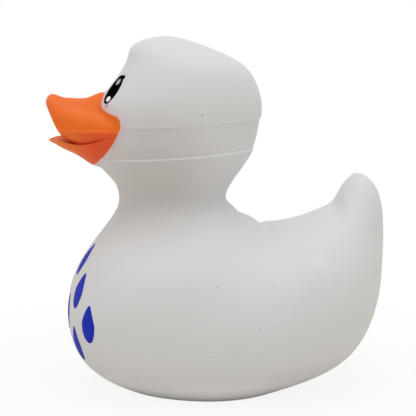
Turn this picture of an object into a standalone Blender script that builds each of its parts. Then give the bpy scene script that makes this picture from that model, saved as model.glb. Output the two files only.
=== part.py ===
"""A rubber duck: one hollow casting in soft vinyl, with its bill, eyes and breast feathers in colour.

The duck looks along -Y and stands on the flat of its base. Its skin is a fan of rings: each ring spans
from the front line of the profile to the back line, and both lines end at the crown of the head and at
the tip of the tail. Sizes are in millimetres until the meshes are made.
"""

import math
from dataclasses import dataclass

import bmesh
import bpy
import numpy as np
from mathutils import Vector
from mathutils.bvhtree import BVHTree

MM = 0.001

# Driving sizes of the profile: heights stack up from the base, lengths run along Y, widths across X.
# The tail's box hangs over the back of the body's by its overhang.
BODY_LENGTH = 77.0
BODY_HEIGHT = 38.0
BODY_WIDTH = 66.4
BODY_MIDDLE = 1.86
NECK_LENGTH = 26.0
NECK_HEIGHT = 12.0
NECK_WIDTH = 27.2
NECK_MIDDLE = -10.54
HEAD_LENGTH = 40.4
HEAD_HEIGHT = 33.6
HEAD_WIDTH = 41.0
HEAD_MIDDLE = -9.34
TAIL_LENGTH = 10.4
TAIL_HEIGHT = 22.5
TAIL_WIDTH = 27.0
TAIL_OVERHANG = 0.2
TAIL_FOOT = 28.5

# Roundness of the skin at its two poles, as a ring's width over its own length.
CROWN_ROUND = 1.05
TAIL_TIP_ROUND = 0.95

# The wall of the casting, the floor that it stands on, and the vent in the floor.
WALL = 2.0
FLOOR = 2.4
VENT_DIAMETER = 3.0
VENT_DISH_DIAMETER = 10.0
VENT_DISH_DEPTH = 0.6

# The bill: how far each half reaches from the middle of the head, and the width of its root.
UPPER_BILL_REACH = 31.4
UPPER_BILL_WIDTH = 31.6
UPPER_BILL_EDGE = 11.7
UPPER_BILL_RISE = 8.7
UPPER_BILL_KEEL = 5.0
LOWER_BILL_REACH = 30.9
LOWER_BILL_WIDTH = 28.4
LOWER_BILL_RIM = 9.8
LOWER_BILL_DEPTH = 8.5

# The eyes and the breast feathers are films of paint, sunk into the skin and a little proud of it.
PAINT_PROUD = 0.2
PAINT_SUNK = 0.7
EYE_HEIGHT = 8.0
EYE_WIDTH = 6.6
EYE_SPACING = 15.8
EYE_LEVEL = 21.6
FEATHER_LENGTH = 8.6
FEATHER_WIDTH = 5.4
FEATHER_ROWS = ((31.0, (-12.5, 12.5)), (25.0, (-25.0, 0.0, 25.0)), (18.6, (-37.0, -12.5, 12.5, 37.0)),
                (12.4, (-25.0, 0.0, 25.0)))

# How finely the rings are drawn.
SKIN_RINGS = 62
SKIN_SIDES = 44
CAVITY_RINGS = 34
CAVITY_SIDES = 24
BILL_RINGS = 14
BILL_SIDES = 32
FIELD_SIDES = 20
FIELD_RINGS = 3
VENT_SIDES = 24


@dataclass(frozen=True)
class Zone:
    """One part of the duck, with the box that its stations are drawn in."""

    middle: float
    foot: float
    length: float
    height: float
    width: float

    def place(self, share):
        """Point (y, z) from a share of the length off the middle and a share of the height."""
        along, up = share
        return self.middle + along * self.length, self.foot + up * self.height


BODY = Zone(BODY_MIDDLE, 0.0, BODY_LENGTH, BODY_HEIGHT, BODY_WIDTH)
NECK = Zone(NECK_MIDDLE, BODY_HEIGHT, NECK_LENGTH, NECK_HEIGHT, NECK_WIDTH)
HEAD = Zone(HEAD_MIDDLE, BODY_HEIGHT + NECK_HEIGHT, HEAD_LENGTH, HEAD_HEIGHT, HEAD_WIDTH)
TAIL_MIDDLE = BODY_MIDDLE + (BODY_LENGTH - TAIL_LENGTH) / 2 + TAIL_OVERHANG
TAIL = Zone(TAIL_MIDDLE, TAIL_FOOT, TAIL_LENGTH, TAIL_HEIGHT, TAIL_WIDTH)

CROWN = (-0.078, 1.0)
TAIL_TIP = (-0.01, 0.985)

# The lofting table: zone, front point, back point, width and bilge, the squareness of the ring's flanks.
STATIONS = (
    (HEAD, (-0.249, 0.942), (0.125, 0.949), 0.41, 0.0),
    (HEAD, (-0.294, 0.834), (0.352, 0.832), 0.755, 0.0),
    (HEAD, (-0.364, 0.695), (0.46, 0.699), 0.925, 0.0),
    (HEAD, (-0.45, 0.55), (0.503, 0.54), 1.0, 0.0),
    (HEAD, (-0.50, 0.375), (0.497, 0.38), 0.99, 0.0),
    (HEAD, (-0.495, 0.15), (0.457, 0.197), 0.905, 0.0),
    (NECK, (-0.565, 0.97), (0.607, 1.042), 1.125, 0.0),
    (NECK, (-0.50, 0.69), (0.50, 0.61), 1.0, 0.0),
    (NECK, (-0.528, 0.30), (0.563, 0.387), 1.285, 0.0),
    (BODY, (-0.409, 0.90), (0.057, 1.069), 0.71, 0.0),
    (BODY, (-0.465, 0.712), (0.0945, 1.038), 0.86, 0.0),
    (BODY, (-0.491, 0.461), (0.129, 0.992), 0.96, 0.02),
    (BODY, (-0.442, 0.15), (0.1635, 1.0), 0.995, 0.03),
    (BODY, (-0.271, -0.049), (0.201, 1.016), 1.0, 0.03),
    (BODY, (-0.045, -0.112), (0.242, 1.036), 0.985, 0.035),
    (BODY, (0.174, -0.031), (0.278, 1.066), 0.92, 0.03),
    (BODY, (0.376, 0.144), (0.315, 1.103), 0.785, 0.02),
    (BODY, (0.476, 0.45), (0.347, 1.148), 0.60, 0.0),
    (TAIL, (0.49, -0.02), (-0.51, 0.788), 1.0, 0.0),
    (TAIL, (0.513, 0.467), (-0.375, 0.893), 0.635, 0.0),
    (TAIL, (0.35, 0.83), (-0.22, 0.966), 0.325, 0.0),
)

# The tip of the tail is solid: the hollow ends this many stations short of the last one.
SOLID_STATIONS = 1.4

# The upper bill from root to lip: reach, width, edge, wing, ridge and keel. Reach and width are shares of
# its own reach and width, keel is a share of its keel, and the others are shares of its rise.
UPPER_BILL_STATIONS = (
    (0.25, 1.0, 0.02, 0.45, 0.55, 1.0),
    (0.41, 1.0, 0.01, 0.43, 0.57, 1.0),
    (0.56, 0.925, 0.0, 0.46, 0.54, 0.90),
    (0.68, 0.855, -0.01, 0.55, 0.30, 0.86),
    (0.79, 0.76, -0.01, 0.63, 0.20, 0.60),
    (0.88, 0.62, 0.06, 0.64, 0.15, 0.32),
    (0.95, 0.39, 0.46, 0.40, 0.07, 0.26),
)
UPPER_BILL_LIP = 0.71
RIDGE_SHARE = 0.62
WING_POWER = 4
KEEL_POWER = 2.0

# The lower bill from root to tip: reach, width, rim, dish and hull. Reach and width are shares of its own
# reach and width, and the others are shares of its depth.
LOWER_BILL_STATIONS = (
    (0.28, 1.04, 0.035, 0.19, 1.12),
    (0.46, 1.0, 0.0, 0.16, 1.04),
    (0.58, 0.91, -0.05, 0.14, 0.87),
    (0.67, 0.82, -0.105, 0.13, 0.69),
    (0.77, 0.72, -0.13, 0.13, 0.42),
    (0.87, 0.61, -0.08, 0.13, 0.30),
    (0.945, 0.44, -0.03, 0.10, 0.20),
)
LOWER_BILL_TIP = -0.06
HULL_POWER = 0.8


class Spline:
    """A smooth curve through rows of numbers, one unit of its parameter apart."""

    def __init__(self, rows, closed):
        self.rows = np.array(rows, float)
        self.closed = closed
        count = len(self.rows)
        onward = np.roll(self.rows, -1, 0)
        before = np.roll(self.rows, 1, 0)
        weights = 4 * np.eye(count) + np.roll(np.eye(count), 1, 0) + np.roll(np.eye(count), -1, 0)
        bends = 6 * (onward - 2 * self.rows + before)
        if not closed:
            weights[[0, -1]] = np.eye(count)[[0, -1]]
            bends[[0, -1]] = 0
        self.bends = np.linalg.solve(weights, bends)

    def at(self, parameter):
        """The row at a parameter, which wraps round on a closed curve."""
        count = len(self.rows)
        start = math.floor(parameter)
        if not self.closed:
            start = min(start, count - 2)
        part = parameter - start
        rest = 1 - part
        first, second = start % count, (start + 1) % count
        straight = rest * self.rows[first] + part * self.rows[second]
        curved = (rest**3 - rest) * self.bends[first] + (part**3 - part) * self.bends[second]
        return straight + curved / 6


def skin_splines():
    """The closed profile of the duck, and the form of the rings that span it."""
    fronts = [row[0].place(row[1]) for row in STATIONS]
    backs = [row[0].place(row[2]) for row in STATIONS]
    profile = Spline([HEAD.place(CROWN), *fronts, TAIL.place(TAIL_TIP), *reversed(backs)], closed=True)
    forms = []
    for (zone, _, _, width, bilge), front, back in zip(STATIONS, fronts, backs):
        forms.append((width * zone.width / math.dist(front, back), bilge))
    form = Spline([(CROWN_ROUND, 0), *forms, (TAIL_TIP_ROUND, 0), *reversed(forms)], closed=True)
    return profile, form


def skin_ring(profile, form, station, sides):
    """Points of the ring at a station, which is 0 at the crown and the number of rings at the tail."""
    poles_apart = len(STATIONS) + 1
    front = profile.at(station)
    back = profile.at((2 * poles_apart - station) % (2 * poles_apart))
    roundness, bilge = form.at(station)
    half_width = roundness * np.linalg.norm(back - front) / 2
    points = []
    for side in range(sides):
        turn = 2 * math.pi * side / sides
        across = half_width * (math.sin(turn) + bilge * math.sin(3 * turn)) / (1 - bilge)
        y, z = front + (back - front) * (1 - math.cos(turn)) / 2
        points.append(Vector((across, y, z)))
    return points


def loft(rings, first_pole=None, last_pole=None):
    """A closed bmesh bridged through rings of points, each end drawn to its pole or capped flat."""
    mesh = bmesh.new()
    loops = []
    for points in rings:
        circle = bmesh.ops.create_circle(mesh, segments=len(points), radius=1)["verts"]
        for vertex, point in zip(circle, points):
            vertex.co = point
        loops.append([mesh.edges.get((circle[i - 1], circle[i])) for i in range(len(circle))])
    for loop, following in zip(loops, loops[1:]):
        bmesh.ops.bridge_loops(mesh, edges=loop + following)
    for loop, pole in ((loops[0], first_pole), (loops[-1], last_pole)):
        if pole is None:
            bmesh.ops.contextual_create(mesh, geom=loop)
            continue
        tip = mesh.verts.new(pole)
        for edge in loop:
            mesh.faces.new((edge.verts[0], edge.verts[1], tip))
    bmesh.ops.recalc_face_normals(mesh, faces=mesh.faces)
    return mesh


def cut_level(mesh, height):
    """Cut a closed bmesh off flat at a height, and close the cut."""
    geometry = [*mesh.verts, *mesh.edges, *mesh.faces]
    cut = bmesh.ops.bisect_plane(
        mesh, geom=geometry, plane_co=(0, 0, height), plane_no=(0, 0, 1), clear_inner=True
    )
    edges = [item for item in cut["geom_cut"] if isinstance(item, bmesh.types.BMEdge)]
    bmesh.ops.contextual_create(mesh, geom=edges)
    bmesh.ops.recalc_face_normals(mesh, faces=mesh.faces)


def skin_mesh():
    """The outside of the duck without its bill, cut off flat where it stands."""
    profile, form = skin_splines()
    poles_apart = len(STATIONS) + 1
    stations = [poles_apart * ring / SKIN_RINGS for ring in range(1, SKIN_RINGS)]
    rings = [skin_ring(profile, form, station, SKIN_SIDES) for station in stations]
    crown = Vector((0, *HEAD.place(CROWN)))
    tail_tip = Vector((0, *TAIL.place(TAIL_TIP)))
    mesh = loft(rings, crown, tail_tip)
    cut_level(mesh, 0)
    return mesh


def cavity_mesh():
    """The hollow inside the skin, a wall's thickness in, which the tail's tip closes with solid vinyl."""
    profile, form = skin_splines()
    end = len(STATIONS) - SOLID_STATIONS
    stations = [end * ring / CAVITY_RINGS for ring in range(1, CAVITY_RINGS + 1)]
    rings = [skin_ring(profile, form, station, CAVITY_SIDES) for station in stations]
    mesh = loft(rings, Vector((0, *HEAD.place(CROWN))))
    mesh.normal_update()
    inward = {vertex: vertex.normal * WALL for vertex in mesh.verts}
    for vertex, step in inward.items():
        vertex.co -= step
    cut_level(mesh, FLOOR)
    return mesh


def bill_spline(stations, tip):
    """Curve through a bill's stations and on past its tip, mirrored so that the tip is round."""
    tip_row = (1.0, 0.0, tip) + (0.0,) * (len(stations[0]) - 3)
    far_side = [(row[0], -row[1], row[2], *(-size for size in row[3:])) for row in reversed(stations)]
    return Spline([*stations, tip_row, *far_side], closed=False)


def upper_bill_ring(row):
    """Ring of the upper bill: a ridge on broad wings above its edge, and a keel below it."""
    reach, width, edge, wing, ridge, keel = row
    y = HEAD_MIDDLE - reach * UPPER_BILL_REACH
    edge_z = HEAD.foot + UPPER_BILL_EDGE + UPPER_BILL_RISE * edge
    points = []
    for side in range(BILL_SIDES):
        turn = 2 * math.pi * side / BILL_SIDES
        across = math.cos(turn)
        if math.sin(turn) >= 0:
            bell = (1 + math.cos(math.pi * min(1, abs(across) / RIDGE_SHARE))) / 2
            rise = UPPER_BILL_RISE * (wing * math.sqrt(max(0, 1 - across**WING_POWER)) + ridge * bell)
        else:
            rise = -UPPER_BILL_KEEL * keel * (1 - abs(across) ** KEEL_POWER)
        points.append(Vector((across * width * UPPER_BILL_WIDTH / 2, y, edge_z + rise)))
    return points


def lower_bill_ring(row):
    """Ring of the lower bill: a shallow dish between its rims, and a hull below them."""
    reach, width, rim, dish, hull = row
    y = HEAD_MIDDLE - reach * LOWER_BILL_REACH
    rim_z = HEAD.foot + LOWER_BILL_RIM + LOWER_BILL_DEPTH * rim
    points = []
    for side in range(BILL_SIDES):
        turn = 2 * math.pi * side / BILL_SIDES
        across = math.cos(turn)
        depth = max(0, 1 - across**2)
        if math.sin(turn) >= 0:
            drop = LOWER_BILL_DEPTH * dish * depth
        else:
            drop = LOWER_BILL_DEPTH * hull * depth**HULL_POWER
        points.append(Vector((across * width * LOWER_BILL_WIDTH / 2, y, rim_z - drop)))
    return points


def bill_mesh(stations, tip, ring):
    """One half of the bill, lofted from inside the head to its round tip."""
    spline = bill_spline(stations, tip)
    last = len(stations)
    rows = [spline.at(last * step / BILL_RINGS) for step in range(BILL_RINGS)]
    pole = ring(spline.at(last))[0]
    pole.x = 0
    return loft([ring(row) for row in rows], last_pole=pole)


def ellipse(width, height):
    """Outline of an upright ellipse, as points (across, up)."""
    turns = [2 * math.pi * side / FIELD_SIDES for side in range(FIELD_SIDES)]
    return [(width / 2 * math.cos(turn), height / 2 * math.sin(turn)) for turn in turns]


def feather(width, length):
    """Outline of a drop: round below, and drawn out to a point above."""
    turns = [2 * math.pi * side / FIELD_SIDES for side in range(FIELD_SIDES)]
    points = []
    for turn in turns:
        up = math.sin(turn)
        half = width / 2 * (1 - max(0, up) / 2)
        points.append((half * math.cos(turn), length / 2 * up))
    return points


def paint_mesh(skin, outline, centre, outward):
    """A field of paint on the skin: its outline is cast onto the skin, then given a thickness."""
    outward = outward.normalized()
    right = Vector((0, 0, 1)).cross(outward).normalized()
    up = outward.cross(right)
    mesh = bmesh.new()
    middle = mesh.verts.new(centre)
    circles = []
    for ring in range(1, FIELD_RINGS + 1):
        share = ring / FIELD_RINGS
        circles.append([mesh.verts.new(centre + share * (a * right + b * up)) for a, b in outline])
    for inner, outer in zip([None, *circles], circles):
        for i in range(len(outer)):
            if inner is None:
                mesh.faces.new((middle, outer[i - 1], outer[i]))
            else:
                mesh.faces.new((inner[i - 1], outer[i - 1], outer[i], inner[i]))
    for vertex in mesh.verts:
        vertex.co = skin.ray_cast(vertex.co + outward * HEAD_WIDTH, -outward)[0]
    lifted = bmesh.ops.extrude_face_region(mesh, geom=mesh.faces[:], use_keep_orig=True)["geom"]
    for vertex in mesh.verts:
        normal = skin.find_nearest(vertex.co)[1]
        vertex.co += normal * (PAINT_PROUD if vertex in lifted else -PAINT_SUNK)
    bmesh.ops.recalc_face_normals(mesh, faces=mesh.faces)
    return mesh


def eye_meshes(skin):
    """The two eyes, on the slope of the head above the bill."""
    height = HEAD.foot + EYE_LEVEL
    for side in (-1, 1):
        start = Vector((side * EYE_SPACING / 2, HEAD_MIDDLE - HEAD_LENGTH, height))
        hit, normal = skin.ray_cast(start, Vector((0, 1, 0)))[:2]
        yield paint_mesh(skin, ellipse(EYE_WIDTH, EYE_HEIGHT), hit, normal)


def feather_meshes(skin):
    """Rows of small feathers across the breast, set out by their bearing from the front."""
    for height, bearings in FEATHER_ROWS:
        for bearing in bearings:
            turn = math.radians(bearing)
            direction = Vector((math.sin(turn), -math.cos(turn), 0))
            start = Vector((0, BODY_MIDDLE, height)) + direction * BODY_LENGTH
            hit, normal = skin.ray_cast(start, -direction)[:2]
            yield paint_mesh(skin, feather(FEATHER_WIDTH, FEATHER_LENGTH), hit, normal)


def joined(meshes):
    """One bmesh that holds several, which stay apart."""
    whole = bmesh.new()
    for mesh in meshes:
        part = bpy.data.meshes.new("part")
        mesh.to_mesh(part)
        mesh.free()
        whole.from_mesh(part)
        bpy.data.meshes.remove(part)
    return whole


def round_cutter(diameter, low, high):
    """An upright cylinder between two heights, under the middle of the body."""
    mesh = bmesh.new()
    bmesh.ops.create_cone(
        mesh, cap_ends=True, segments=VENT_SIDES, radius1=diameter / 2, radius2=diameter / 2, depth=high - low
    )
    bmesh.ops.translate(mesh, verts=mesh.verts, vec=(0, BODY_MIDDLE, (low + high) / 2))
    return mesh


def material(name, colour, roughness, subsurface=0.0):
    """A Principled material in a colour of the duck."""
    made = bpy.data.materials.new(name)
    made.use_nodes = True
    shader = made.node_tree.nodes["Principled BSDF"]
    shader.inputs["Base Color"].default_value = (*colour, 1)
    shader.inputs["Roughness"].default_value = roughness
    shader.inputs["Subsurface Weight"].default_value = subsurface
    made.diffuse_color = (*colour, 1)
    return made


def add_object(name, mesh, finish):
    """Object that holds a bmesh drawn in millimetres, in metres and shaded smooth."""
    bmesh.ops.scale(mesh, vec=(MM, MM, MM), verts=mesh.verts)
    data = bpy.data.meshes.new(name)
    mesh.to_mesh(data)
    mesh.free()
    data.materials.append(finish)
    data.shade_smooth()
    made = bpy.data.objects.new(name, data)
    bpy.context.scene.collection.objects.link(made)
    return made


def combine(target, other, operation):
    """Add another object to the target, or take it away, and keep the other as a hidden guide."""
    change = target.modifiers.new(other.name, "BOOLEAN")
    change.object = other
    change.operation = operation
    change.solver = "EXACT"
    change.material_mode = "TRANSFER"
    other.hide_render = True
    other.display_type = "WIRE"


def build_duck():
    """The duck as one casting: skin, bill and paint, less the hollow and the vent in its floor."""
    vinyl = material("white_vinyl", (0.80, 0.80, 0.78), 0.38, 0.1)
    orange = material("orange_paint", (0.80, 0.17, 0.04), 0.35)
    black = material("black_paint", (0.01, 0.01, 0.01), 0.25)
    blue = material("blue_paint", (0.015, 0.04, 0.40), 0.35)
    skin = skin_mesh()
    tree = BVHTree.FromBMesh(skin)
    added = (
        ("upper_bill", bill_mesh(UPPER_BILL_STATIONS, UPPER_BILL_LIP, upper_bill_ring), orange),
        ("lower_bill", bill_mesh(LOWER_BILL_STATIONS, LOWER_BILL_TIP, lower_bill_ring), orange),
        ("eyes", joined(eye_meshes(tree)), black),
        ("feathers", joined(feather_meshes(tree)), blue),
    )
    removed = (
        ("cavity", cavity_mesh()),
        ("vent", round_cutter(VENT_DIAMETER, -FLOOR, 2 * FLOOR)),
        ("vent_dish", round_cutter(VENT_DISH_DIAMETER, -FLOOR, VENT_DISH_DEPTH)),
    )
    duck = add_object("duck", skin, vinyl)
    for name, mesh, finish in added:
        combine(duck, add_object(name, mesh, finish), "UNION")
    for name, mesh in removed:
        combine(duck, add_object(name, mesh, vinyl), "DIFFERENCE")
    return duck


def clear_scene():
    """Remove the objects of the scene that the script is run in."""
    for item in list(bpy.data.objects):
        bpy.data.objects.remove(item)


clear_scene()
build_duck()
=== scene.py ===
"""The looks of a rubber duck: a satin white vinyl casting with a sprayed bill, printed eyes and feathers.

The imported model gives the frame. The duck looks along -Y and stands on z = 0. Sizes in this file are in
millimetres, and every mesh is turned to metres when its object is made.
"""

import logging
import math
from collections.abc import Callable
from dataclasses import dataclass
from enum import Enum

import bmesh
import bpy
import numpy as np
from bmesh.types import BMEdge, BMesh, BMVert
from bpy.types import Material, Node, NodeSocket, NodeTree, Object
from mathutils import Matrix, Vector
from mathutils.bvhtree import BVHTree
from mathutils.kdtree import KDTree


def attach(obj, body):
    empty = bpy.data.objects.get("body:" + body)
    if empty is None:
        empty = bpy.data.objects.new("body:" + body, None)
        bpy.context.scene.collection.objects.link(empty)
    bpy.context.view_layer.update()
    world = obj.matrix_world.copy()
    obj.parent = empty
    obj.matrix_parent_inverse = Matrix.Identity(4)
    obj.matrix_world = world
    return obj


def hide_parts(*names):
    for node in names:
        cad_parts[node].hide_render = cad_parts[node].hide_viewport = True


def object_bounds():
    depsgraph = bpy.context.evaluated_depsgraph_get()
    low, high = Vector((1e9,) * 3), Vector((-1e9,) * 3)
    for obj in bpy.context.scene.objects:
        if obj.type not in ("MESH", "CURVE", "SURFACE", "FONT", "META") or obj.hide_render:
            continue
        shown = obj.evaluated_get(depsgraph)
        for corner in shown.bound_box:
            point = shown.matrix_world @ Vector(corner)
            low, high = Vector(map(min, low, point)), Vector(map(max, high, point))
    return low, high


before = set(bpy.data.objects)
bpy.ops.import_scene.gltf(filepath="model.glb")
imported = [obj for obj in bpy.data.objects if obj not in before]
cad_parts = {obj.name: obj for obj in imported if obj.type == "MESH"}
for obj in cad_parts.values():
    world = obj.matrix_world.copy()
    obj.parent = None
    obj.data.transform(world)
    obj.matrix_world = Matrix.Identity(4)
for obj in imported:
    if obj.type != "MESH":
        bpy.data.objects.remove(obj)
CAD_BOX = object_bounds()

LOG = logging.getLogger("duck")
MM = 0.001
BODY = "root"
CASTING = "duck"
BILL_REACH = "bill_reach"
PLASTIC_IOR = 1.5
NOISE_SPAN = (0.3, 0.7)
SMOOTH_NOISE_SPAN = (0.25, 0.75)
SMOOTH = {"interpolation_type": "SMOOTHSTEP"}
MULTIPLY = {"operation": "MULTIPLY"}
LARGER = {"operation": "MAXIMUM"}
APART = {"operation": "DISTANCE"}
COLOURS = {"data_type": "RGBA"}
WHITE = "FFFFFF"

Outline = list[tuple[float, float]]
Wire = Node | NodeSocket


class Side(Enum):
    """The duck's own left and right, as a sign along X."""

    LEFT = 1
    RIGHT = -1


class Join(Enum):
    """What a Boolean does with the second shape."""

    ADD = "UNION"
    TAKE_AWAY = "DIFFERENCE"


def linear(hex_colour: str) -> tuple[float, float, float, float]:
    """Turn an sRGB hex colour into the linear values that a shader takes.

    Args:
        hex_colour: six hex digits.

    Returns:
        Red, green, blue and an alpha of 1.
    """
    shares = [int(hex_colour[i : i + 2], 16) / 255 for i in (0, 2, 4)]
    plain = [share / 12.92 if share <= 0.04045 else ((share + 0.055) / 1.055) ** 2.4 for share in shares]
    return plain[0], plain[1], plain[2], 1.0


def add_node(tree: NodeTree, kind: str, settings: dict | None = None, inputs: dict | None = None) -> Node:
    """Add a shader node with its settings and links.

    Args:
        tree: the node tree that it goes into.
        kind: the node's type name, without the ShaderNode that all of them start with.
        settings: properties of the node, by name.
        inputs: its inputs, by name or number: a value, a socket, or a node, whose first output is taken.

    Returns:
        The node.
    """
    node = tree.nodes.new(f"ShaderNode{kind}")
    for name, value in (settings or {}).items():
        setattr(node, name, value)
    for name, value in (inputs or {}).items():
        if isinstance(value, Node):
            value = next(output for output in value.outputs if output.enabled)
        if isinstance(value, NodeSocket):
            tree.links.new(value, node.inputs[name])
        else:
            node.inputs[name].default_value = value
    return node


def lumps(place: Wire, size_mm: float, detail: float = 2.0) -> dict:
    """Inputs of a noise whose lumps are about as large as a real size."""
    return {"Vector": place, "Scale": 1 / (size_mm * MM), "Detail": detail}


def span(value: Wire, start: tuple[float, float] = (0.0, 1.0), end: tuple[float, float] = (0.0, 1.0)) -> dict:
    """Inputs of a map range that leads from one span of values to another."""
    return {"Value": value, "From Min": start[0], "From Max": start[1], "To Min": end[0], "To Max": end[1]}


@dataclass(frozen=True)
class Speck:
    """A round mark on the skin: its place, its radius, and the share of that over which its rim fades."""

    place: tuple[float, float, float]
    radius: float
    softness: float = 0.5


class Recipe:
    """A material while it is mixed: its nodes, and the place on the piece that its patterns read."""

    def __init__(self, name: str) -> None:
        """Start an empty material.

        Args:
            name: the material's name.
        """
        self.material = bpy.data.materials.new(name)
        self.material.use_nodes = True
        self.tree = self.material.node_tree
        self.tree.nodes.clear()
        self.place = add_node(self.tree, "TexCoord").outputs["Object"]

    def finished(self, shader: Node) -> Material:
        """Put the shader on the material's output and hand the material over."""
        add_node(self.tree, "OutputMaterial", {}, {"Surface": shader})
        return self.material

    def fade(self, size: Wire, full: float, none: float) -> Node:
        """Mask that fades as a length grows.

        Args:
            size: the length, in metres.
            full: the length up to which the mask is whole, in millimetres.
            none: the length at which it is gone, in millimetres.

        Returns:
            A node that goes from 1 to 0.
        """
        lengths = (full * MM, none * MM)
        return add_node(self.tree, "MapRange", SMOOTH, span(size, lengths, (1.0, 0.0)))

    def spots(self, specks: tuple[Speck, ...]) -> Node:
        """Mask of round marks.

        Args:
            specks: the marks.

        Returns:
            A node that gives 1 on a mark and 0 off it.
        """
        mask = None
        for speck in specks:
            place = Vector(speck.place) * MM
            away = add_node(self.tree, "VectorMath", APART, {0: self.place, 1: place})
            spot = self.fade(away, (1 - speck.softness) * speck.radius, (1 + speck.softness) * speck.radius)
            if mask is not None:
                spot = add_node(self.tree, "Math", LARGER, {0: mask, 1: spot})
            mask = spot
        return mask

    def beside(self, middle: tuple[float, float]) -> Node:
        """Distance in metres from a line that runs across the duck at a y and z in millimetres."""
        flat = add_node(self.tree, "VectorMath", MULTIPLY, {0: self.place, 1: (0.0, 1.0, 1.0)})
        return add_node(self.tree, "VectorMath", APART, {0: flat, 1: Vector((0.0, *middle)) * MM})

    def off_level(self, level: float, slope: float) -> Node:
        """Height in metres above or below a sloping level.

        Args:
            level: its height at y = 0, in millimetres.
            slope: how much it rises along Y.

        Returns:
            A node that gives the height without its sign.
        """
        tilted = add_node(self.tree, "VectorMath", {"operation": "DOT_PRODUCT"},
                          {0: self.place, 1: (0.0, -slope, 1.0)})
        offset = add_node(self.tree, "Math", {"operation": "SUBTRACT"}, {0: tilted, 1: level * MM})
        return add_node(self.tree, "Math", {"operation": "ABSOLUTE"}, {0: offset})

    def layers(self, below: str, *coats: tuple[Wire, str]) -> Node:
        """Lay colours over each other.

        Args:
            below: the hex colour of the ground.
            coats: how much of each further colour shows, and its hex colour, from the bottom up.

        Returns:
            The node of the colour that shows.
        """
        colour = linear(below)
        for share, hex_colour in coats:
            mixed = {0: share, 6: colour, 7: linear(hex_colour)}
            colour = add_node(self.tree, "Mix", COLOURS, mixed)
        return colour


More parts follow.
